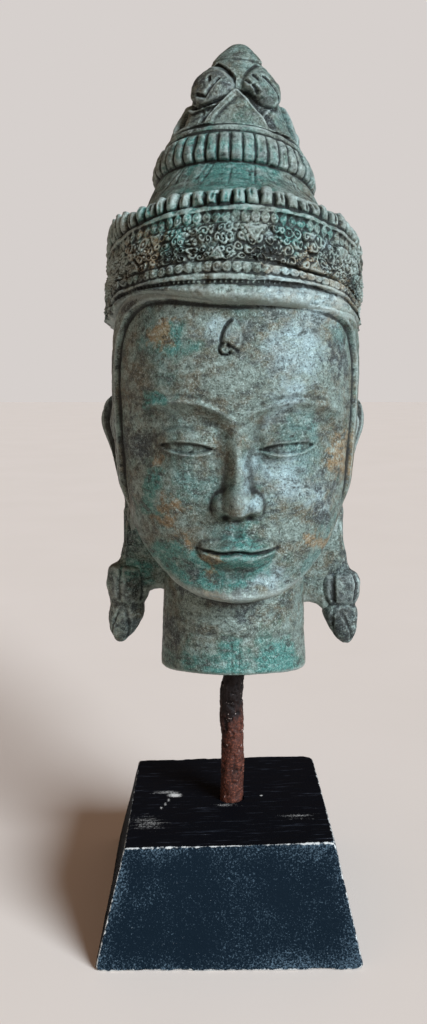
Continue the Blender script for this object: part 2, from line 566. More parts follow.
def head_radius(angle, height):
    """Distance from the head's axis to the plain form of the head, the strap before the ear and the neck."""
    side, fore = np.abs(np.sin(angle)), np.cos(angle)
    depth = np.where(fore > 0, FACE_DEPTH(height), BACK_DEPTH(height))
    plain = (side / HEAD_HALF_WIDTH(height)) ** SQUARENESS + (np.abs(fore) / depth) ** SQUARENESS
    degrees = np.degrees(np.abs(angle))
    above_jaw = unit((height - JAW_HEIGHT(degrees)) / JAW_ROUNDING(degrees))
    skull = plain ** (-1 / SQUARENESS) * dome(1 - above_jaw)

    lift = EDGE_LIFT(np.degrees(angle))
    up_to_crown = unit((height - STRAP_BEND) / (HAIRLINE + 2 + lift - STRAP_BEND))
    from_middle = (degrees / STRAP_ANGLE) ** STRAP_CORNER + up_to_crown ** STRAP_CORNER
    from_strap = STRAP_ANGLE * (from_middle ** (1 / STRAP_CORNER) - 1)
    shown = ramp(78, 92, height) * (degrees < 120)
    strap = (2.2 * ramp(5.2, 4.0, np.abs(from_strap)) - 0.5 * bell(from_strap + 6.0, 0.9)
             - 1.3 * bell(from_strap - 7.0, 1.6)) * shown

    neck_half = NECK_HALF_WIDTH(height)
    neck = 1 / np.sqrt((side / neck_half) ** 2 + (fore / (neck_half * 0.95)) ** 2)
    creases = -0.35 * bell(degrees - 3, 0.7) * between(2, 4, 18, 25, height)
    for middle, deep, slant in ((9.0, 0.2, 2), (20.5, 0.42, -1.5), (30.0, 0.28, 1)):
        bow = middle + 5.5 * fore - 3 * fore ** 2 + slant * np.sin(angle)
        creases = creases - deep * bell(height - bow, 1.3)
    behind = ramp(STRAP_ANGLE + 8, STRAP_ANGLE + 12, degrees) * ramp(84, 90, height)
    behind = behind * ramp(0.35, 0.6, above_jaw)
    combed = (height + level_drop(angle, HAIRLINE) + 2.2 * np.cos(angle)) / 4.3
    hair = (0.55 * np.abs(np.sin(np.pi * combed)) ** 0.7 - 0.45) * behind
    return smooth_max(skull + strap * above_jaw + hair, neck + creases * ramp(-0.2, 0.4, fore), 3.2)


def head_rows():
    """The whole skin of the casting below the crown, from the rod's socket up to a lid under the crown."""
    front = stepped((0, 60, 0.6), (60, 92, 1.0), (92, 179.4, 1.6))
    angles = np.radians(np.concatenate([[-180], -front[:0:-1], front]))
    degrees = np.abs(np.degrees(angles))
    jaw = JAW_HEIGHT(degrees)
    low = NECK_CUT_RISE * NECK_HALF_WIDTH(0) * np.cos(angles)
    heights = [low + share * (jaw + 0.05 - low) for share in np.linspace(0.035, 1, 46)]
    near_chin = 0.05 + 0.11 * np.arange(1, 16) ** 1.75
    face = stepped((CHIN + 14, MOUTH - 8, 0.85), (MOUTH - 8, NOSE_BASE - 3, 0.5),
                   (NOSE_BASE - 3, NOSE_BASE + 6, 0.36), (NOSE_BASE + 6, EYE - 6, 0.85),
                   (EYE - 6, BROW + 6, 0.5), (BROW + 6, 146, 1.0), (146, 164, 0.6), (164, HAIRLINE, 0.9))
    fall = level_drop(angles, HAIRLINE) - EDGE_LIFT(np.degrees(angles))
    for row in [*(CHIN + near_chin), *face, HAIRLINE + 1]:
        under_crown = max(row - NOSE_BASE, 0) / (HAIRLINE + 1 - NOSE_BASE)
        heights.append(row + (jaw - CHIN) * (1 - ramp(CHIN, EYE, row)) - fall * under_crown ** 1.5)
    heights = np.array(heights)
    radius = head_radius(angles, heights)
    x, y = radius * np.sin(angles), -radius * np.cos(angles)
    facing = ramp(0.2, 0.5, np.cos(angles))
    skin = points_of(x, y - face_relief(x, heights) * facing, heights)

    socket = [around(ROD_HOLE_RADIUS, angles, SOCKET_DEPTH)]
    for wide in (ROD_HOLE_RADIUS, 20.0):
        socket.append(around(wide, angles, NECK_CUT_RISE * wide * np.cos(angles)))
    edge = []
    for inward, up in ((2.4, 0.0), (1.1, 0.25), (0.4, 0.8), (0.1, 1.3)):
        rim = head_radius(angles, low + 1.5) - inward
        edge.append(around(rim, angles, NECK_CUT_RISE * rim * np.cos(angles) + up))
    lid = [skin[-1] * (0.93, 0.93, 1) + (0, 0, 1.5), skin[-1] * (0.5, 0.5, 1) + (0, 0, 3)]
    return np.array([*socket, *edge, *skin, *lid]), len(socket), len(lid)


def cast_skin(rows, keep_below=0, keep_above=0, rows_wrap=False, wear=1.0):
    """Works the pitted, slightly lumpy skin of old cast bronze into rows of points, along their normals, a
    little inside the plain form."""
    round_step = np.roll(rows, -1, axis=1) - np.roll(rows, 1, axis=1)
    up_step = np.gradient(rows, axis=0)
    if rows_wrap:
        up_step = (np.roll(rows, -1, axis=0) - np.roll(rows, 1, axis=0)) / 2
    normal = np.cross(round_step, up_step)
    normal /= np.maximum(np.linalg.norm(normal, axis=-1, keepdims=True), 1e-9)
    lumpy = 0.20 * lumps(rows, 11, 21) + 0.07 * lumps(rows, 2.8, 22, 2)
    grain = 0.03 * lumps(rows, 1.0, 23)
    pits = -0.10 * ramp(0.6, 1.1, lumps(rows, 1.5, 24)) - 0.16 * ramp(0.85, 1.2, lumps(rows, 3.0, 25))
    set_back = 0.12
    dents = (lumpy + grain + pits) * wear - set_back
    dents[:keep_below] = 0
    if keep_above:
        dents[-keep_above:] = 0
    return rows + normal * dents[..., None], normal


def hollows(rows, normal, passes, rows_wrap=False):
    """How far each point lies below the average of its neighbours, in millimetres."""
    mean = rows
    for _ in range(passes):
        mean = (np.roll(mean, 1, axis=1) + 2 * mean + np.roll(mean, -1, axis=1)) / 4
        if rows_wrap:
            padded = np.concatenate([mean[-1:], mean, mean[:1]])
        else:
            padded = np.concatenate([mean[:1], mean, mean[-1:]])
        mean = (padded[:-2] + 2 * mean + padded[2:]) / 4
    return np.sum((mean - rows) * normal, axis=-1)


# Coloured patches in the patina: (x, height, radius) in the carver's millimetres, seen from the front
PATCHES = {
    "green": [(-36, 90, 8), (-30, 60, 9), (2, 62, 10), (-6, 4, 16), (20, 10, 12), (-31, 128, 5), (-48, 45, 8),
              (-10, 235, 8), (-19, 233, 6), (-4, 222, 20), (24, 196, 8), (-30, 198, 12), (-12, 58, 8),
              (-26, 152, 8)],
    "ochre": [(-33, 101, 3.2), (-27, 80, 5), (-22, 71, 5), (-10, 62, 4), (40, 68, 5), (-8, 48, 5),
              (48, 106, 9), (34, 70, 4), (26, 179, 10), (40, 174, 10), (14, 181, 5), (-38, 190, 8),
              (56, 100, 10), (-30, 156, 7)],
    "pale": [(24, 152, 15), (8, 100, 7), (22, 96, 12), (32, 170, 12), (16, 174, 10), (14, 192, 3.2),
             (34, 192, 3.2), (6, 88, 6), (20, 130, 8), (-6, 158, 6), (12, 54, 8), (34, 88, 7)],
    "dark": [(34, 82, 5), (2, 46, 7), (-8, 43, 6), (-20, 56, 4), (-44, 110, 9), (44, 146, 7), (-36, 20, 9),
             (4, 34, 6), (-52, 60, 8), (57, 45, 8), (-24, 44, 5), (36, 92, 4), (-61, 119, 8), (-60, 105, 9),
             (-57, 90, 8), (-50, 38, 9), (-51, 18, 7), (53, 20, 8), (7, 256.5, 2.6), (10, 253, 2.8),
             (13, 249.5, 3), (-19, 247, 4), (-17, 264, 6), (-50, 170, 7), (-41, 173, 6), (-31, 174, 5),
             (-55, 146, 5), (-56, 134, 5), (-57, 78, 6), (-55, 69, 6), (-53, 60, 6)],
}


def patina_measures(rows, normal, rows_wrap=False):
    """What the bronze's material reads at each point: hollows of two sizes and the coloured patches."""
    measures = {label: hollows(rows, normal, passes, rows_wrap)
                for label, passes in (("fine_hollow", 5), ("wide_hollow", 45))}
    waver = rows + 3.5 * points_of(*(lumps(rows, 8, seed, 2) for seed in (31, 32, 33)))
    for label, spots in PATCHES.items():
        shown = np.zeros(rows.shape[:2])
        for x, height, radius in spots:
            far = np.hypot(waver[..., 0] - x, waver[..., 2] - height) / radius
            shown = np.maximum(shown, np.exp(-far ** 2) * ramp(30, 8, rows[..., 1]))
        measures[label] = shown
    return measures


def patinated_bronze():
    """Old cast bronze under a mineral patina: chalky grey-green copper salts over brown metal, nearly black
    where dirt stays in the hollows, rubbed paler on the high points. Mostly matt, a little metallic."""
    material, tree, shader, place = new_material("patinated_bronze")
    read = {label: add_node(tree, "Attribute", attribute_name=label).outputs["Fac"]
            for label in ("fine_hollow", "wide_hollow", "green", "ochre", "pale", "dark")}
    # Patterns by the size of their spots in millimetres; wiping has drawn one of them out sideways
    for label, size, detail, rough in (
            ("cloud", 34, 4, 0.6), ("blotch", 9, 5, 0.62), ("mottle", 2.6, 4, 0.65), ("wipe", 6.5, 5, 0.6),
            ("speckle", 0.9, 4, 0.7), ("grit", 0.5, 2, 0.6)):
        shift = add_node(tree, "Mapping", [place, (size * 0.01, size * 0.02, 0.3), (0.2, 0.35, 0.0),
                                           (1.0, 1.0, 2.2 if label == "wipe" else 1.0)])
        read[label] = add_node(tree, "TexNoise", {"Vector": shift, "Scale": 1000 / size,
                                                  "Detail": detail, "Roughness": rough})

    # Each layer of the patina: its colour, the two patterns that carry it and how much each counts, where
    # it sets in and is full, and how thick it gets
    layers = [("#5a4e35", "cloud", 0.5, "blotch", 1.0, 0.65, 0.82, 0.85),
              ("#4a7570", "blotch", 0.0, "cloud", 1.0, 0.49, 0.64, 0.75),
              ("#2d786f", "green", 0.55, "blotch", 1.0, 0.60, 0.84, 0.8),
              ("#886a40", "ochre", 0.5, "mottle", 1.0, 0.64, 0.86, 0.75),
              ("#a3bbbd", "pale", 0.5, "wipe", 1.0, 0.60, 1.0, 0.75),
              ("#1f262c", "dark", 0.4, "mottle", 1.0, 0.62, 0.84, 0.85),
              ("#2b2f28", "blotch", 0.5, "wipe", 1.0, 0.76, 0.91, 0.85),
              ("#9db0a8", "blotch", -0.5, "wipe", -1.0, -0.70, -0.52, 0.5),
              ("#1a1e1a", "speckle", 1.0, "mottle", 0.6, 0.83, 1.0, 0.75),
              ("#a3b3ac", "speckle", -1.0, "mottle", -0.6, -0.76, -0.58, 0.45),
              ("#20251f", "grit", 1.0, "speckle", 0.4, 0.73, 0.95, 0.65),
              ("#a9b8b1", "grit", -1.0, "speckle", -0.4, -0.66, -0.46, 0.45),
              ("#b3c0b8", "fine_hollow", 1.0, "grit", 0.0, -0.04, -0.22, 0.42),
              ("#2a2c24", "wide_hollow", 1.0, "grit", 0.0, 0.35, 1.8, 0.65),
              ("#121512", "fine_hollow", 1.0, "grit", 0.0, 0.03, 0.30, 0.9)]
    colour = paint("#6e7c72")
    for code, first, first_share, second, second_share, low, high, most in layers:
        total = add_node(tree, "Math", [read[first], first_share], operation="MULTIPLY")
        total = add_node(tree, "Math", [read[second], second_share, total], operation="MULTIPLY_ADD")
        share = add_node(tree, "MapRange", [total, low, high, 0.0, most])
        colour = add_node(tree, "Mix", {0: share, 6: colour, 7: paint(code)}, data_type="RGBA").outputs[2]

    gloss = add_node(tree, "MapRange", [read["mottle"], 0.3, 0.7, 0.40, 0.60])
    metal = add_node(tree, "MapRange", [read["blotch"], 0.35, 0.65, 0.55, 0.25])
    veins = add_node(tree, "Math", [read["mottle"], 0.5], operation="SUBTRACT")
    veins = add_node(tree, "Math", [veins], operation="ABSOLUTE")
    veins = add_node(tree, "MapRange", [veins, 0.0, 0.03, -0.6, 0.0])
    relief = add_node(tree, "Math", [read["speckle"], 2.0, read["grit"]], operation="MULTIPLY_ADD")
    relief = add_node(tree, "Math", [relief, veins], operation="ADD")
    bump = add_node(tree, "Bump", {"Strength": 0.65, "Distance": 0.0005, "Height": relief})
    feed(tree, shader, {"Base Color": colour, "Roughness": gloss, "Metallic": metal, "Normal": bump})
    return material


head_low, head_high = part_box("bronze_head")
HEAD_SEAT = np.array([(head_low.x + head_high.x) / 2 / MM, 0.0, head_high.z / MM - HEAD_HEIGHT])
bronze = patinated_bronze()


def cast_piece(name, rows, keep_below=0, keep_above=0, wrap=False, wear=1.0, grime=1.0, soot=0.0):
    """Finishes rows of points as one bronze piece on the head; grime is how much dirt its cuts hold, and
    soot how black it is at each point or all over."""
    skin, normal = cast_skin(rows, keep_below, keep_above, wrap, wear)
    measures = patina_measures(skin, normal, wrap)
    fine = measures["fine_hollow"]
    measures["fine_hollow"] = np.where(fine < 0, fine * min(grime, 1) ** 3, fine * grime)
    measures["dark"] = np.maximum(measures["dark"], soot)
    points, faces = surface_of(skin, wrap=wrap)
    extra = len(points) - skin.shape[0] * skin.shape[1]
    measures = {label: np.append(values.reshape(-1), np.zeros(extra)) for label, values in measures.items()}
    piece = build_mesh(name, points + HEAD_SEAT, faces, measures)
    piece.data.materials.append(bronze)
    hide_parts("bronze_head")
    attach(piece, "root")


face_points, face_below, face_above = head_rows()
round_face = np.degrees(np.abs(np.arctan2(face_points[..., 0], -face_points[..., 1])))
under_jaw = 0.95 * bell(face_points[..., 2] - JAW_HEIGHT(round_face) - 1.0, 3.4) * ramp(100, 80, round_face)
cast_piece("face_and_neck", face_points, face_below, face_above, grime=0.7, soot=under_jaw)


# The crown
# A high band cast with the head: a roll above the forehead, fillets, two rows of ring-drilled beads, a
# dense frieze of curls, bosses and small leaves between them, and upright knobs along its upper edge.

CROWN_KNOBS, KNOB_FOOT = 64, 206.6
BEADS, LOWER_BEADS, UPPER_BEADS = 92, 180.8, 201.6
DENTILS = 165
FRIEZE_FOOT, FRIEZE_TOP, FRIEZE_RADIUS = 183.8, 198.8, 57.0
FRIEZE_REPEATS = 26
# The patterns are laid out on the band as if it were unrolled at a radius of 60 mm
ROUND_LENGTH = math.tau * 60


def on_levels(radius, angles, heights):
    """Points on the levels of the crown and topknot, lower at the sides and back than in front."""
    return around(radius, angles, heights - level_drop(angles, heights), aside=LEVEL_ASIDE(heights),
                  depth=LEVEL_DEPTH(heights))


def all_round(count):
    """Evenly spaced angles, from the back over the left, the front and the right."""
    return np.linspace(-math.pi, math.pi, count, endpoint=False)[None, :]


def nearest_copy(angles, count):
    """How far round each angle is in steps of a pattern, and the number of the copy it falls on."""
    turn = angles * count / math.tau
    return turn, np.round(turn)


def bead_row(angles, heights, middle, size, rise):
    """Beads side by side, each with a drilled ring round a small point, some worn nearly flat."""
    turn, number = nearest_copy(angles, BEADS)
    far = np.hypot((turn - number) * ROUND_LENGTH / BEADS, (heights - middle) * 0.92) / size
    ring = -0.4 * bell(far - 0.42, 0.2)
    worn = 0.45 + 0.55 * np.sin(number * 12.9898 + middle) ** 2
    return (rise * dome(far) + ring * (far < 1)) * worn


def frieze_relief(angles, heights):
    """Curls, ring bosses and small plain leaves, each set a little unevenly, as wax is by hand."""
    random = np.random.default_rng(71)
    surface = on_levels(FRIEZE_RADIUS, angles, heights)
    along = angles * ROUND_LENGTH / math.tau + 1.0 * lumps(surface, 5.5, 72)
    level = heights + 0.8 * lumps(surface, 5.0, 73)
    relief = -0.15 + 0.35 * lumps(surface, 1.8, 74, 2)
    repeat_length = ROUND_LENGTH / FRIEZE_REPEATS
    for repeat in range(FRIEZE_REPEATS):
        start = (repeat + 0.5) * repeat_length - ROUND_LENGTH / 2
        motifs = []
        tall = random.uniform(6.2, 7.6)
        if repeat % 3 == 0:
            motifs.append(("leaf", start + random.uniform(-1, 1), FRIEZE_FOOT + 0.6, tall, 1))
        elif repeat % 3 == 1:
            motifs.append(("leaf", start + random.uniform(-1, 1), FRIEZE_TOP - 0.6, tall * 0.85, -1))
        for column in range(4):
            for row in range(4):
                x = start + ((column + 0.5 + 0.5 * (row % 2)) / 4 - 0.5) * repeat_length
                x += random.uniform(-0.9, 0.9)
                z = FRIEZE_FOOT + 1.7 + row * 3.9 + random.uniform(-0.8, 0.8)
                kind = random.choice(4 * ["curl"] + 2 * ["petal"] + ["ring", "boss"])
                motifs.append((kind, x, z, random.uniform(1.7, 2.6), random.choice([-1, 1])))
        for kind, x, z, size, way in motifs:
            aside = (along - x + ROUND_LENGTH / 2) % ROUND_LENGTH - ROUND_LENGTH / 2
            columns = np.nonzero((np.abs(aside) < 9).any(axis=0))[0]
            dx, dz, here = aside[:, columns], level[:, columns] - z, relief[:, columns]
            worn = random.uniform(0.55, 1.0)
            if kind == "leaf":
                up = way * dz / size
                inside = np.where(up > 0, 4.6 * unit(1 - up) - np.abs(dx), -9.0)
                shape = 1.5 * ramp(-0.1, 0.9, inside) + 0.25 * bell(inside - 0.9, 0.5) - 0.12 * np.abs(dx)
                shape = np.where(inside > -0.1, shape, 0)
                relief[:, columns] = np.where(shape > 0.4, shape, here)
                continue
            far = np.hypot(dx, dz) / size
            turn = np.arctan2(dz, dx * way)
            ball = dome(far) * worn
            if kind == "curl":
                groove = 0.5 + 0.5 * np.cos(turn + math.tau * far * 1.3 + x)
                shape = ball ** 0.6 * (0.35 + 1.35 * groove)
            elif kind == "petal":
                shape = ball ** 0.7 * (0.75 + 0.85 * np.cos(2.5 * turn + x) ** 2) - 0.9 * bell(far, 0.25)
            elif kind == "ring":
                shape = 1.5 * ball ** 0.6 - 1.1 * bell(far - 0.42, 0.22)
            else:
                shape = 1.6 * ball - 0.9 * bell(far, 0.3)
            relief[:, columns] = np.where(here > 1.45, here, np.maximum(here, shape))
    return 1.2 * relief * (1 - 0.25 * ramp(0.2, 1.0, lumps(surface, 9, 75)))


def crown_rows():
    """Rows up the band's outside; the last row joins the first behind, inside the casting."""
    profile = smooth_curve([(166.4, 54.6), (167, 56.6), (168.2, 58.2), (170, 58.9), (172, 58.5),
                            (173.3, 57.4), (173.8, 56.9), (175, 56.9), (175.4, 58.3), (177.3, 58.6),
                            (178, 57.9), (178.6, 57.6), (182.9, 57.5), (183.6, 57.0), (198.8, 57.0),
                            (199.3, 57.3), (199.9, 56.9), (203.4, 56.8), (204, 58), (205.6, 57.5),
                            (206.3, 55.9)])
    heights = stepped((166.4, 173.5, 0.62), (173.6, 178.3, 0.5), (178.4, 183.6, 0.42), (183.7, 199.2, 0.42),
                      (199.4, 203.8, 0.42), (203.9, 206.4, 0.45))
    heights = np.array([164.0, 165.8, *heights])[:, None]
    angles = all_round(880)
    radius = profile(heights) + 0 * angles
    radius[0], radius[1] = 49.0, 51.5
    teeth = (0.5 + 0.5 * np.cos(angles * DENTILS)) * bell(heights - 174.5, 0.6)
    radius += 0.75 * teeth * (0.4 + 0.6 * ramp(-0.2, 0.5, np.cos(angles * 2 + 0.8)))
    radius += bead_row(angles, heights, LOWER_BEADS, 2.3, 1.7)
    radius += bead_row(angles + 0.02, heights, UPPER_BEADS, 2.1, 1.6)
    on_frieze = between(FRIEZE_FOOT - 0.4, FRIEZE_FOOT + 0.5, FRIEZE_TOP - 0.4, FRIEZE_TOP + 0.5, heights)
    radius += frieze_relief(angles, heights) * on_frieze

    # The frieze is cracked along its foot and across in front of the right temple
    crack = bell(heights - 183.9 - 0.6 * np.sin(angles * 9), 0.7) * between(0.05, 0.2, 1.0, 1.25, angles)
    cross = bell(heights - 192.5 + 22 * (angles - 0.50), 0.8)
    cross = cross + bell(heights - 190 - 30 * (angles - 0.54), 0.8)
    radius -= 1.3 * crack + 1.4 * unit(cross) * bell(angles - 0.52, 0.12) * bell(heights - 190.5, 5)

    # The knobs lean in as they rise, and each is parted from the next by a narrow cut
    turn, number = nearest_copy(angles, CROWN_KNOBS)
    lift = 0.6 * np.sin(number * 7.13) + 0.4 * np.sin(number * 3.7)
    share = np.linspace(0, 1, 15)[:, None]
    across = np.abs(turn - number - 0.12 * np.sin(number * 4.3) * (share - 0.4)) * 2
    across = unit(across / (0.84 + 0.08 * np.sin(number * 9.7)))
    rounded = 0.86 + 0.14 * dome(across)
    knob_height = KNOB_FOOT + share * (5.9 + lift * 1.2) * rounded
    swell = 3.2 * np.sqrt(unit(1 - across ** 2.4)) * np.sin(math.pi * (0.12 + share * 0.8)) ** 0.5
    slit_place = 0.14 * np.sin(number * 5.1) + 0.3 * np.sin(number * 3.1) * (share - 0.5)
    slit = np.hypot((turn - number - slit_place) * 4.0, (share - 0.55 - 0.2 * np.sin(number * 2.3)) * 1.2)
    swell = swell - (0.8 + 0.6 * np.sin(number * 8.9)) * bell(slit, 0.42)
    knob_radius = 55.1 - 1.6 * share ** 1.6 + swell + 0.25 * lift
    bent_out = bell(angles + 1.1, 0.26) * share
    knob_height, knob_radius = knob_height + 3.4 * bent_out, knob_radius + 2.2 * bent_out
    over = np.array([[212.3, 54.0], [211.9, 52.0], [210.0, 50.0]])
    all_heights = np.concatenate([heights + 0 * angles, knob_height, over[:, :1] + 0 * angles])
    all_radius = np.concatenate([radius, knob_radius, over[:, 1:] + 0 * angles])

    rough = on_levels(all_radius, angles, all_heights)
    chips = unit(lumps(rough, 11, 41, 2) - 0.35) * 1.5 + 0.3 * lumps(rough, 4.5, 42, 2)
    all_radius -= chips * between(166, 168, 206, 214, all_heights)
    rows = on_levels(all_radius, angles, all_heights)

    # The lifts hold at the edge, the groove and the beads, and fade from each to the next and into the frieze
    edge, groove, bead = (lift_at(np.degrees(angles)) for lift_at in (EDGE_LIFT, GROOVE_LIFT, BEAD_LIFT))
    edge_at, groove_at, beads_at, frieze_at = 168, 174, 181, 190
    up = np.clip(all_heights, edge_at, frieze_at)
    over_edge = edge + (groove - edge) * (up - edge_at) / (groove_at - edge_at)
    over_groove = groove + (bead - groove) * (up - groove_at) / (beads_at - groove_at)
    over_beads = bead * (frieze_at - up) / (frieze_at - beads_at)
    rows[..., 2] += np.where(up < groove_at, over_edge, np.where(up < beads_at, over_groove, over_beads))
    return rows


cast_piece("crown", crown_rows(), keep_below=2, keep_above=1, wrap=True, wear=1.3, grime=1.5)


# The topknot
# It rises from the crown in tiers of the same casting: a hollow slope, a ring of flutes under a smooth
# roll, four flat leaves with small petals between them, four closed buds, and a plain rounded cap.

TOPKNOT_FLUTES = 42
LEAF_FOOT, LEAF_TIP, SMALL_LEAF_TIP = 243.6, 260.6, 254.0
BUD_MIDDLE = 263.0
# The cuts on each bud: whether on a left one, and both ends, in millimetres inward and up from its middle
BUD_CUTS = [(True, (0.5, -4.1), (4.2, -5.9)), (True, (4.2, -5.9), (7.1, 0.9)), (True, (3.4, 2.4), (4.1, 0.6)),
            (False, (6.4, 3.1), (5.6, 0.9)), (False, (7.9, -1.6), (6.7, -4.4)),
            (False, (9.4, 0.9), (8.8, -0.5)), (False, (3.3, 2.4), (-0.5, -1.6)),
            (False, (-0.5, -1.6), (-3.0, -7.0))]


def topknot_rows():
    """Rows up the topknot from inside the crown to the cap's top, and how black its hollows are."""
    profile = smooth_curve([(211, 53.0), (213, 49.5), (216, 45.8), (218.5, 43.2), (221, 40.6), (224, 37.8),
                            (226.6, 35.2), (227.4, 34.4), (228.8, 35.6), (231, 36.3), (235, 35.4),
                            (238.6, 33.7), (239.6, 32.4), (240.2, 31.4), (241, 31.9), (242.4, 31.6),
                            (243.2, 30.4), (244.4, 28.4), (249, 25.0), (253, 22.4), (257, 20.0), (261, 18.0),
                            (267, 15.6), (271.5, 13.4), (273.6, 12.3), (274.4, 11.9), (275.2, 11.7),
                            (276.8, 10.5), (279, 8.5), (281, 6.2), (282.6, 4.1), (283.6, 2.2), (283.9, 1.0)])
    heights = stepped((211, 226.9, 0.62), (227.0, 240, 0.42), (240.1, 247.4, 0.36), (247.4, 276, 0.36),
                      (276, 283, 0.42))
    heights = np.array([*heights, 283.1, 283.4, 283.65, 283.85])[:, None]
    angles = all_round(450)
    radius = profile(heights) + 0 * angles

    slope = between(214, 216, 225.5, 227, heights)
    random = np.random.default_rng(77)
    for line in np.arange(-math.pi, math.pi, 0.135):
        line, tilt = line + random.uniform(-0.06, 0.06), random.uniform(-0.008, 0.03)
        low, deep = random.uniform(212, 220), random.uniform(0.1, 0.75)
        extent = between(low, low + 2, low + 9, low + 13, heights)
        radius -= deep * slope * extent * bell((angles - line - tilt * (heights - 222)) * 38, 0.5)
    radius -= 0.3 * bell(heights - 221.4 - 0.5 * np.sin(angles * 3), 0.5)

    turn, number = nearest_copy(angles, TOPKNOT_FLUTES)
    across = np.abs(turn - number) * 2
    flute = between(227.2, 228.2, 239, 240, heights)
    radius += flute * (0.75 * (1 - across ** 2) - 0.9 * bell(across - 1, 0.16) + 0.2 * np.sin(number * 4.7))
    radius -= 0.4 * bell(heights - 243.3, 0.4)

    # Angles from the middle of the nearest great leaf, and of the nearest petal and bud
    from_leaf = (angles + math.pi / 4) % (math.pi / 2) - math.pi / 4
    from_petal = angles % (math.pi / 2) - math.pi / 4
    in_tier = (heights > LEAF_FOOT - 0.2) & (heights < LEAF_TIP)
    leaf_half = 14.6 * unit((LEAF_TIP - heights) / (LEAF_TIP - LEAF_FOOT)) ** 0.95
    across = radius * from_leaf
    side = leaf_half - np.abs(across)
    flat = (radius + 2.6) * (1 / np.cos(from_leaf) - 1) * 0.2
    fold = 1.2 * ramp(4.6, 3.4, side) * ramp(0.5, -0.8, across) + 0.4 * bell(side - 1.2, 0.7) * (across > 0)
    leaf = (2.6 + flat) * ramp(-0.4, 0.8, side) + fold - 0.3 * bell(side - 4.4, 1.0) * ramp(2.0, -1.0, across)
    leaf = leaf * between(LEAF_FOOT - 3, LEAF_FOOT + 5, LEAF_TIP - 1.5, LEAF_TIP + 0.5, heights) * in_tier
    beside = np.where(across > 0, 3.0 * bell(np.abs(side + 2.6), 2.4) ** 0.7, 1.5 * bell(side + 1.3, 0.9))
    beside = beside * between(LEAF_FOOT, LEAF_FOOT + 3, LEAF_TIP - 2, LEAF_TIP + 1, heights)
    petal_side = 9.5 * unit(1 - ((heights - LEAF_FOOT) / (SMALL_LEAF_TIP - LEAF_FOOT)) ** 2) ** 0.5
    petal_side = petal_side - radius * np.abs(from_petal)
    petal = 2.2 * ramp(-0.8, 1.4, petal_side) - 0.5 * bell(petal_side - 2.4, 0.7)
    petal = np.where(in_tier & (heights < SMALL_LEAF_TIP), petal, 0)

    # Each bud reaches in towards the tip of the nearer great leaf; those on the left sit in a folded cup
    on_left = angles < 0
    inward = radius * from_petal * np.where(np.sin(2 * angles) < 0, 1, -1)
    up_bud = heights - BUD_MIDDLE
    reach = np.where(inward > 0, np.where(on_left, 13.6, 11.0), 8.0)
    from_bud = np.hypot(inward / reach, (up_bud + 0.2 * np.maximum(inward, 0))
                        / (9.2 - np.where(inward > 0, 0.17, 0.3) * np.abs(inward)))
    bud = 6.3 * dome(from_bud) ** 0.9
    bud -= 0.9 * bell(from_bud - 0.8, 0.08) * (from_bud < 1) * ramp(2, -3, inward) * on_left
    cuts = np.zeros(radius.shape)
    for left, start, end in BUD_CUTS:
        (x1, z1), (x2, z2) = start, end
        share = (inward - x1) * (x2 - x1) + (up_bud - z1) * (z2 - z1)
        share = unit(share / ((x2 - x1) ** 2 + (z2 - z1) ** 2))
        far = np.hypot(inward - x1 - share * (x2 - x1), up_bud - z1 - share * (z2 - z1))
        cuts = np.maximum(cuts, bell(far, 0.55) * (on_left == left) * (from_bud < 1))
    bud -= 1.5 * cuts
    beside = beside * (side < 0)
    bud = np.where(on_left, bud, bud * (1 - unit(beside / 1.5)))
    cup = 3.8 * bell(from_bud - 1.26, 0.11) * ramp(-2.5, -5.0, up_bud) * ramp(-8, -5, inward) * on_left
    round_bud = bell(from_bud - 1.08, 0.06 + 0.04 * ramp(2, 6, inward) * on_left)
    round_bud = round_bud * np.where(on_left, 1.7, 0.5)
    beside = np.maximum(beside * (bud < 0.3), round_bud) * (side < 0)
    radius = radius + np.maximum(np.maximum(leaf, petal), np.maximum(bud, cup)) - beside

    radius -= 0.45 * bell(heights - 274.6 + 0.5 * np.sin(angles * 2), 0.45)
    rough = on_levels(radius, angles, heights)
    radius -= 0.9 * unit(lumps(rough, 8, 51, 2) - 0.4) * between(217, 227, 278, 283, heights)
    soot = 1.4 * unit(beside / 2) * (across > 0) + 0.6 * (bud > 0.3) * on_left * (angles > -1.6)
    soot = np.maximum(np.maximum(soot, 1.2 * cuts), 0.22 + 0.16 * flute)
    soot = np.maximum(soot, round_bud * (side < 0) * on_left)
    return on_levels(radius, angles, heights), soot


topknot_skin, leaf_hollows = topknot_rows()
cast_piece("topknot", topknot_skin, keep_below=1, keep_above=3, wear=1.1, soot=leaf_hollows)


# The ears
# Long ears with the stretched lobes of a prince, each a rolled rim round a deep hollow. A cast web
# ties the lobe and what hangs from it to the neck.

EAR_TOP, EAR_FOOT, EAR_SPLAY = 131.0, 53.0, 0.34
EAR_MIDDLE = smooth_curve([(EAR_FOOT, 3.0), (75, 3.5), (95, 7.0), (118, 10.0), (EAR_TOP, 9.0)])
EAR_HALF = smooth_curve([(EAR_FOOT, 5.5), (70, 6.0), (82, 7.5), (95, 11.0), (108, 13.5), (118, 14),
                         (126, 11.5), (130, 7.0), (EAR_TOP, 2.0)])
EAR_RIM = smooth_curve([(EAR_FOOT, 55.0), (62, 53.4), (78, 53.6), (90, 57.4), (103, 61.0), (118, 65.2),
                        (125, 64.0), (EAR_TOP, 59.0)])


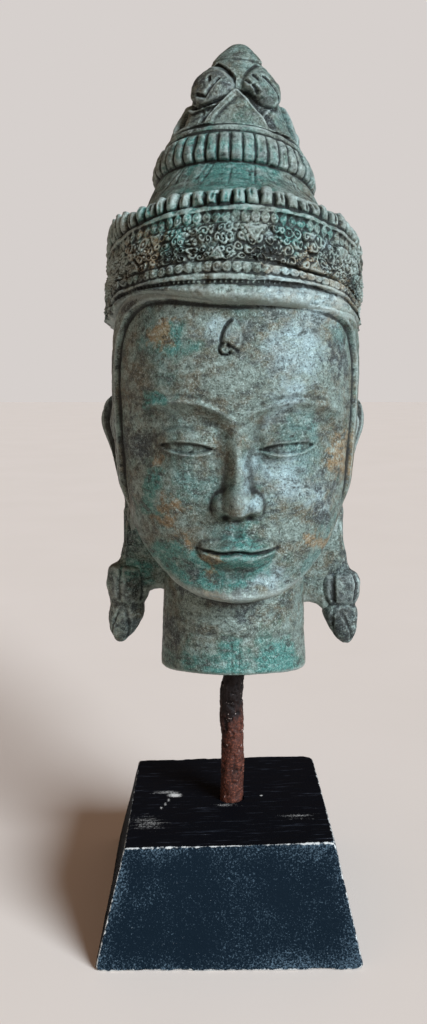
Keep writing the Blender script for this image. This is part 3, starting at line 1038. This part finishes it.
def ear_rows(side):
    """Sections of the ear from the lobe up: in from the cheek, over the rim, and back to the skull."""
    heights = stepped((EAR_FOOT, 122, 0.62), (122, EAR_TOP, 0.36))[:, None]
    face_share = np.linspace(-1, 1, 46)
    share = np.concatenate([[-1.0, -1.0], face_share, [1.0, 0.95, 0.3, -0.6]])[None, :]
    sunk = np.concatenate([[-9.0, -4.0], 0 * face_share, [-3.0, -9.0, -12.0, -12.0]])[None, :]
    half = EAR_HALF(heights)
    to_back = (1 - share) * half
    to_front = (1 + share) * half
    to_top = EAR_TOP - heights
    rim_line = np.minimum(to_back, to_top * 1.2 + unit(share) * 2)
    up = (heights - EAR_FOOT) / (EAR_TOP - EAR_FOOT)
    shell = ramp(EAR_FOOT + 20, EAR_FOOT + 38, heights)
    hollow = -5.0 * ramp(1.1, 2.9, rim_line) * ramp(0.6, 3.4, to_front) * shell
    inner_ridge = (1.4 if side < 0 else 2.4) * bell(share - 0.30 + 0.35 * (up - 0.75), 0.13) * shell
    inner_ridge = inner_ridge * ramp(EAR_TOP - 6, EAR_TOP - 14, heights)
    bowl = -1.6 * bell(share + 0.28, 0.2) * bell(heights - 98, 12)
    tragus = 1.8 * bell(share + 0.82, 0.16) * bell(heights - 101, 4)
    slit = -2.2 * bell(share - 0.05, 0.26) * between(EAR_FOOT + 3, EAR_FOOT + 9, 76, 86, heights)
    rounding = -1.6 * bell(to_back, 1.0) - 1.2 * bell(to_front, 0.9) - 1.5 * bell(to_top, 1.0)
    relief = np.clip(hollow + inner_ridge + bowl + tragus + slit, -6.2, -0.12) + rounding
    opened = -EAR_SPLAY * half * (0.6 - share) - 4.5 * np.maximum(share - 0.6, 0)
    stand = EAR_RIM(heights) + opened + np.where(sunk < 0, sunk, relief)
    rows = points_of(side * stand, EAR_MIDDLE(heights) + share * half, heights)
    soot = ramp(0.8, 1.8, rim_line) * ramp(-1.0, 1.0, to_front) * shell * (sunk == 0)
    soot = 0.45 + 1.2 * soot if side < 0 else 0.45 + 0.4 * soot
    return (rows[:, ::-1], soot[:, ::-1]) if side < 0 else (rows, soot)


def web_rows(side):
    """The web from the neck out to the lobe, with an arched lower edge."""
    foot = 37.4 if side < 0 else 30.5
    lower = smooth_curve([(26, foot - 6), (36, foot), (40, foot - 1), (44, foot - 4), (52, foot - 4)])
    upper = smooth_curve([(26, 88), (36, 88), (40, 84), (44, 78), (52, 70)])
    out = np.linspace(27, 51.5, 44)[:, None]
    loop = np.linspace(0, 1, 120, endpoint=False)
    rise = np.where(loop < 0.5, loop * 2, 2 - loop * 2)[None, :]
    thick = np.where(loop < 0.5, -1, 1)[None, :] * np.sqrt(unit(1 - np.abs(2 * rise - 1) ** 6))
    heights = lower(out) + rise * (upper(out) - lower(out))
    rows = points_of(side * out, 2.5 + 5.4 * thick, heights)
    return rows[:, ::-1] if side > 0 else rows


for side, hand in ((-1, "left"), (1, "right")):
    ear_skin, ear_soot = ear_rows(side)
    cast_piece(f"ear_{hand}", ear_skin, soot=ear_soot)
    cast_piece(f"web_{hand}", web_rows(side), keep_below=2, keep_above=2)


# The ear pendants
# One hangs from each lobe: a ribbed bulb tied at the waist over a pointed bud, much worn, the left one
# smoother than the right.

def pendant_rows(side):
    """Rows from the bud's tip up to the lobe."""
    top, waist, tip = (55.5, 30.0, 10.5) if side < 0 else (56.5, 29.5, 9.5)
    shoulder = waist + (18 if side < 0 else 15)
    half_width = smooth_curve([(tip, 0.6), (tip + 0.6, 2.0), (tip + 3, 4.6), (tip + 9, 7.8), (waist - 4, 9.2),
                               (waist, 8.8), (waist + 5, 10.3), (waist + 11, 11.0), (shoulder, 9.8),
                               (shoulder + 3, 5.8), (top, 3.0)])
    middle = smooth_curve([(tip, 55.2), (waist, 51.4), (top, 50.5)])
    heights = np.array([tip + 0.1, tip + 0.3, *np.arange(tip + 0.6, top, 0.42)])[:, None]
    angles = all_round(110)
    radius = half_width(heights) + 0 * angles
    bulb = between(waist + 0.5, waist + 4, shoulder, shoulder + 3, heights)
    lobes = np.abs((angles * 5 / math.tau + 0.8) % 1 - 0.5) * 2
    radius -= bulb * (1.3 if side > 0 else 0.9) * bell(lobes, 0.2)
    tie = bell(heights - waist + 0.4 - 1.5 * np.cos(angles), 1.1)
    radius -= 0.6 * tie * ramp(-1.5, 1.0, np.cos(angles) + 0.8 * side)
    bud = between(tip + 1, tip + 5, waist - 4, waist - 0.5, heights)
    petals = np.abs((angles * 3 / math.tau + 0.1) % 1 - 0.5) * 2
    radius -= bud * 0.7 * bell(petals - (heights - tip) / (waist - tip) * 0.9, 0.1)
    place = {"aside": side * middle(heights), "back": 3.0, "depth": 0.85}
    rough = around(radius, angles, heights, **place)
    worn = (0.3 * lumps(rough, 6.0, 61 + side, 2) + 0.35) * between(tip, tip + 3, top - 3, top, heights)
    return around(radius - worn, angles, heights, **place)


for side, hand in ((-1, "left"), (1, "right")):
    cast_piece(f"pendant_{hand}", pendant_rows(side), grime=1.3, soot=0.5 if side < 0 else 0.85)


# The room
# A pale floor, a broad cool window light from the right and a weak warm one from the left, and the
# camera a little above the crown, looking down.

def floor_plaster():
    """Smooth matt plaster, pale and slightly warm, with only a faint cloudiness."""
    material, tree, shader, place = new_material("floor_plaster")
    cloud = add_node(tree, "TexNoise", {"Vector": place, "Scale": 6.0, "Detail": 3.0})
    colour = add_node(tree, "Mix", {0: cloud, 6: paint("#d1c6ba"), 7: paint("#d7ccc1")}, data_type="RGBA")
    feed(tree, shader, {"Base Color": colour.outputs[2], "Roughness": 0.9, "Specular IOR Level": 0.0})
    return material


bpy.ops.mesh.primitive_plane_add(size=14.0, location=(0, 0, -0.0002))
floor = bpy.context.object
floor.name = "floor"
floor.data.materials.append(floor_plaster())


def soft_sun(name, compass, climb, strength, spread, code):
    """A far, broad light from compass degrees right of the camera's side and climb degrees up."""
    lamp = bpy.data.lights.new(name, "SUN")
    lamp.energy, lamp.angle, lamp.color = strength, math.radians(spread), paint(code)[:3]
    stand = bpy.data.objects.new(name, lamp)
    bpy.context.scene.collection.objects.link(stand)
    stand.rotation_euler = (math.radians(90 - climb), 0, math.radians(compass))


soft_sun("window_right", 44, 26, 7.3, 30, "#e4f1ff")
soft_sun("fill_left", -45, 20, 0.3, 60, "#ffdcc4")

world = bpy.data.worlds.new("pale_room")
bpy.context.scene.world = world
world.use_nodes = True
air = world.node_tree
room_light = add_node(air, "Background", [paint("#f3cdb4"), 0.23])
backdrop = add_node(air, "Background", [paint("#d6d0cd"), 1.0])
seen = add_node(air, "LightPath").outputs["Is Camera Ray"]
feed(air, air.nodes["World Output"], {"Surface": add_node(air, "MixShader", [seen, room_light, backdrop])})

IMAGE_HEIGHT, FOCAL_PIXELS = 1024, 927
LOOKS_DOWN, LOOKS_RIGHT = 8.8, 0.34
camera = bpy.data.cameras.new("camera")
camera.sensor_fit, camera.sensor_height = "VERTICAL", 24.0
camera.lens = camera.sensor_height * FOCAL_PIXELS / IMAGE_HEIGHT
tripod = bpy.data.objects.new("camera", camera)
bpy.context.scene.collection.objects.link(tripod)
tripod.location = (-0.0095, -0.43605, 0.26467)
tripod.rotation_euler = (math.radians(90 - LOOKS_DOWN), 0, -math.radians(LOOKS_RIGHT))
bpy.context.scene.camera = tripod
bpy.context.scene.view_settings.view_transform = "Standard"
